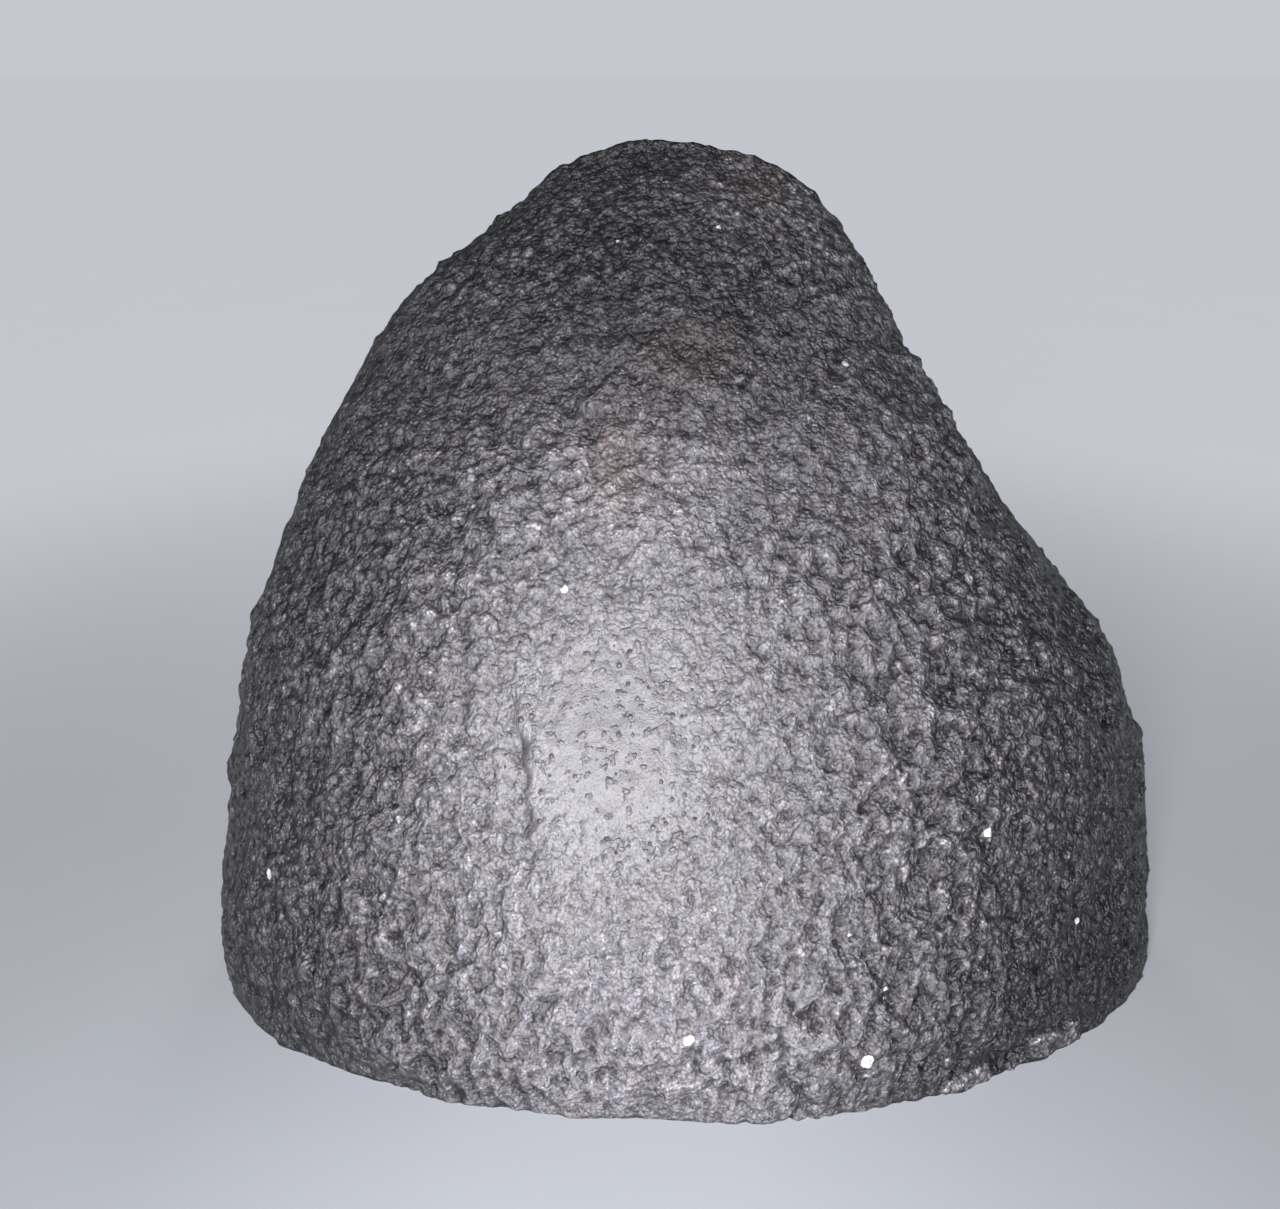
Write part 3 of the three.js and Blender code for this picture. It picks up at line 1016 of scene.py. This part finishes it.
def crust_textures(nodes):
    """The textures and measures that the coat's colour and its bumps share."""
    place = grain_place(nodes)
    dust = nodes.noise(DUST_MM, 3, 0.7)
    flakes, step = nodes.terraces(nodes.noise(FLAKE_MM, 3, 0.55, place), 9, 0.72)
    pimple, ring = crust_pimples(nodes, place)
    return SimpleNamespace(
        place=place, dust=dust, flakes=flakes, step=step, pimple=pimple, ring=ring,
        grain=nodes.cells(place, GRAIN_MM), seeds=nodes.cells(place, SEED_MM),
        chip=crust_chips(nodes, place, dust),
        nuggets=nodes.noise(NUGGET_MM, 2, 0.6, place).spread((0.58, 0.7)),
        calm=nodes.measure("calm"), wear_and_highlight=nodes.measure("wear_and_highlight"))


def crust_base(nodes, grain):
    """The crust's colour before it is shaded."""
    base = nodes.blend(nodes.noise(CLOUD_MM).spread(MIDDLE), *BASALT)
    base = nodes.blend(nodes.noise(STAIN_MM, 3).spread((0.5, 0.72), (0, 0.35)), base, STAIN)
    base = nodes.blend(1, base, nodes.blend(grain.luck, *GRAIN_HUES), "MULTIPLY")
    return nodes.blend(nodes.measure("brown") * 0.5, base, BROWN)


def crust_shade(nodes, coat):
    """What the crust's colour is multiplied by: random tone, pale chips, painted light and painted shade."""
    calm = coat.calm
    speckle = (coat.seeds.luck ** 3).spread((0, 1), SPECKLE_SHADE)
    # Painted light on the grains' tops and painted shade at their edges.
    pit = coat.grain.distance.spread((0.2, 0.7), GRAIN_PAINTED_LIGHT_AND_SHADE)
    pool = nodes.noise(POOL_MM, 2, 0.6).spread((0.38, 0.66), POOL_SHADE)
    grainy = speckle * (pit * pool) * coat.chip.spread((0, 1), CHIP_SHADE)
    even = calm.spread((0, 0.9), (0, 0.95)).at_least(coat.wear_and_highlight * 0.78)
    # Painted shade in the crevices.
    crevice = nodes.measure("crevice").spread((-0.32, 0.22), CREVICE_PAINTED_SHADE)
    # Painted shade at each flake's step, less where the crust is calm.
    step = (coat.step * calm.spread((0, 0.8), (1, 0.2))).spread((0, 1), STEP_PAINTED_SHADE)
    # Painted shade round the pimples.
    ring = (coat.ring * calm).spread((0, 1), RING_PAINTED_SHADE)
    powder = nodes.noise(POWDER_MM, 2, 0.7).spread((0.32, 0.68), POWDER_SHADE)
    # The light measure brings the painted light and painted shade of crust_tone(), with the pale chips.
    shade = nodes.fade(even, grainy) * nodes.fade(calm, crevice) * step * ring * nodes.measure("light")
    return shade * nodes.fade(calm.spread((0, 0.9), (0, 0.75)), powder)


def cell_bumps(nodes, place, cells, facets, domes):
    """The height of the cells' facets, each tilted its own way, and of their domes."""
    away = nodes.vectors("SUBTRACT", place, cells.middle)
    slope = nodes.vectors("SUBTRACT", cells.colour, (0.5, 0.5, 0.5))
    tilt = nodes.vectors("DOT_PRODUCT", away, slope, "Value") * (1 / MM)
    dome = (1 - (cells.distance / 0.8) ** 2).at_least(0)
    return tilt * facets + dome * cells.luck.spread((0, 1), domes)


def crust_bumps(nodes, coat):
    """The crust's bent normal, with fewer bumps where it is calm, and where the mask of wear and painted
    highlight lies.
    """
    calm = coat.calm
    lively = calm.spread((0, 0.95), (1, 0.05)) * coat.wear_and_highlight.spread((0, 1), (1, 0.9))
    cells = (cell_bumps(nodes, coat.place, coat.grain, GRAIN_FACETS, GRAIN_DOMES)
             + cell_bumps(nodes, coat.place, coat.seeds, SEED_FACETS, SEED_DOMES))
    extra = (coat.pimple + coat.nuggets * NUGGET_BUMP) * calm.spread((0.1, 0.6), (0, 0.4))
    extra = extra + coat.flakes * calm.spread((0, 0.6), (FLAKE_BUMP, 0))
    extra = extra + coat.chip * calm.spread((0, 0.5), (CHIP_BUMP, 0))
    fine = coat.dust * calm.spread((0, 0.8), (1, 0.5))
    return nodes.bump(fine, DUST_BUMP, Normal=nodes.bump(cells * lively + extra, 1))


def crust_material():
    """The dark, slightly glossy coat, with its white specks."""
    nodes = Nodes(bpy.data.materials.new("crust"))
    coat = crust_textures(nodes)
    colour = nodes.blend(1, crust_base(nodes, coat.grain), crust_shade(nodes, coat), "MULTIPLY")
    white = nodes.measure("speck").spread((0.85, 1), (1, 0))
    roughness = coat.dust.spread(MOST, (0.42, 0.34)) + coat.calm.spread((0, 1), (0, 0.1))
    return nodes.surface(Base_Color=nodes.blend(white, colour, SPECK_WHITE), Roughness=roughness,
                         Specular_IOR_Level=0.8, Normal=crust_bumps(nodes, coat))


def sawn_material():
    """Polished stone with bands round the mouth: white quartz, grey-green agate, then dark basalt."""
    nodes = Nodes(bpy.data.materials.new("sawn_stone"))
    wavy = nodes.measure("band") - nodes.noise(9, 3).spread(MOST, (-1.2, 1.2))
    wavy = wavy - nodes.noise(1.5).spread(MOST, (-0.25, 0.25))
    across = nodes.add("CombineXYZ", "Vector", {"X": wavy * MM})
    quartz = nodes.blend(nodes.noise(2.2, 3).spread(MIDDLE), *QUARTZ)
    agate = nodes.blend(nodes.noise(0.9, 2, 0.6, across).spread((0.38, 0.62)), *AGATE)
    rock = nodes.blend(nodes.noise(2, 5, 0.7).spread(MIDDLE), *SAWN_ROCK)
    rock = nodes.blend(nodes.noise(1).spread((0.62, 0.7)) * 0.5, rock, FLECK)
    rind = nodes.measure("edge") + nodes.noise(4, 3).spread(MOST, (-1, 1))
    rock = nodes.blend(rind.spread(RIND_END_MM, (0.75, 0)), rock, RIND)
    colour = nodes.blend(wavy.spread(QUARTZ_END_MM), quartz, agate)
    return nodes.surface(Base_Color=nodes.blend(wavy.spread(AGATE_END_MM), colour, rock),
                         Roughness=nodes.noise(5, 3).spread(MOST, (0.38, 0.5)), Specular_IOR_Level=0.35,
                         Normal=nodes.bump(nodes.noise(0.8, 3), 0.02))


def wall_material():
    """The thin pale agate skin of the hollow, behind the crystals."""
    nodes = Nodes(bpy.data.materials.new("hollow_skin"))
    return nodes.surface(Base_Color=nodes.blend(nodes.noise(3, 3).spread(MIDDLE), *SKIN), Roughness=0.5,
                         Normal=nodes.bump(nodes.noise(1.2, 3), 0.3))


def amethyst_material():
    """Clear purple quartz. The colour is in the volume, so thick points are deeper than thin ones."""
    nodes = Nodes(bpy.data.materials.new("amethyst"))
    volume = nodes.add("VolumeAbsorption", "Volume", {"Color": AMETHYST, "Density": COLOUR_DENSITY})
    nodes.feed(nodes.tree.nodes["Material Output"].inputs["Volume"], volume)
    return nodes.surface(Base_Color=nodes.blend(nodes.noise(7, 3).spread(MIDDLE), *CRYSTAL_TINT),
                         Roughness=nodes.noise(3, 3).spread((0.4, 0.7), (0.02, 0.1)), IOR=QUARTZ_IOR,
                         Transmission_Weight=CLEARNESS, Normal=nodes.bump(nodes.noise(1.1, 3), 0.05))


# In the order of the kinds of faces.
for make in (crust_material, sawn_material, wall_material):
    stone.data.materials.append(make())
druse.data.materials.clear()
druse.data.materials.append(amethyst_material())


# ---- camera, light and floor

# Lengths here are in metres.
CAMERA_PLACE = (-0.0095, -0.2491, 0.1694)
CAMERA_DOWN = math.radians(21)
CAMERA_LENS, CAMERA_CLOSEST = 42.2, 0.01

# Each light's name, place, target, width and height, power, colour, and spread in degrees.
LIGHTS = [("key", (-0.03, -0.285, 0.145), (-0.01, -0.03, 0.055), (0.06, 0.12), 0.7, (1, 0.985, 1.02), 105),
          ("low", (-0.02, -0.29, 0.05), (-0.005, -0.045, 0.02), (0.08, 0.08), 0.07, (1, 1, 1), 55),
          ("rear", (-0.005, 0.46, 0.07), (-0.005, 0.03, 0.065), (0.16, 0.1), 0.32, (1, 1, 1), 60)]

# How strongly the studio lights the stone, how bright it looks, and the floor's glow near the stone and far
# from it, between two distances.
FILL, SHOWN = 0.19, 0.62
FLOOR_GLOW = (0.19, 0.55)
GLOW_REACH = (0.05, 0.45)
FLOOR_HALF_MM = 6000


def make_camera():
    camera = new_object("camera", bpy.data.cameras.new("camera"))
    camera.data.lens = CAMERA_LENS
    camera.data.clip_start = CAMERA_CLOSEST
    camera.location = CAMERA_PLACE
    camera.rotation_euler = (math.pi / 2 - CAMERA_DOWN, 0, 0)
    bpy.context.scene.camera = camera


def soft_light(name, place, target, size, power, colour, spread):
    """An oval light of some width and height, turned towards its target."""
    light = bpy.data.lights.new(name, "AREA")
    light.shape = "ELLIPSE"
    light.size, light.size_y = size
    light.energy = power
    light.color = colour
    light.spread = math.radians(spread)
    lamp = new_object(name, light)
    lamp.location = place
    lamp.rotation_euler = (Vector(target) - Vector(place)).to_track_quat("-Z", "Y").to_euler()


def make_floor():
    """A wide pale floor. Far from the stone it glows a little, as a lit backdrop does."""
    nodes = Nodes(bpy.data.materials.new("floor"))
    away = nodes.add("VectorMath", "Value", {0: nodes.coordinates()}, operation="LENGTH")
    pale = nodes.surface(Base_Color=nodes.blend(nodes.noise(60, 3), *FLOOR), Roughness=0.8,
                         Specular_IOR_Level=0.1, Emission_Color=PALE,
                         Emission_Strength=away.spread(GLOW_REACH, FLOOR_GLOW, "SMOOTHSTEP"))
    corners = np.array([(-1, -1, 0), (1, -1, 0), (1, 1, 0), (-1, 1, 0)]) * FLOOR_HALF_MM
    floor = mesh_object("floor", corners, [(0, 1, 2, 3)])
    floor.data.materials.append(pale)


def make_world():
    """A pale studio, which lights the stone less than it shows behind it."""
    nodes = Nodes(bpy.data.worlds.new("studio"), "Background")
    shown = nodes.add("LightPath", "Is Camera Ray").spread((0, 1), (FILL, SHOWN))
    bpy.context.scene.world = nodes.surface(Color=PALE, Strength=shown)


make_camera()
for light in LIGHTS:
    soft_light(*light)
make_floor()
make_world()
bpy.context.scene.view_settings.view_transform = "Standard"
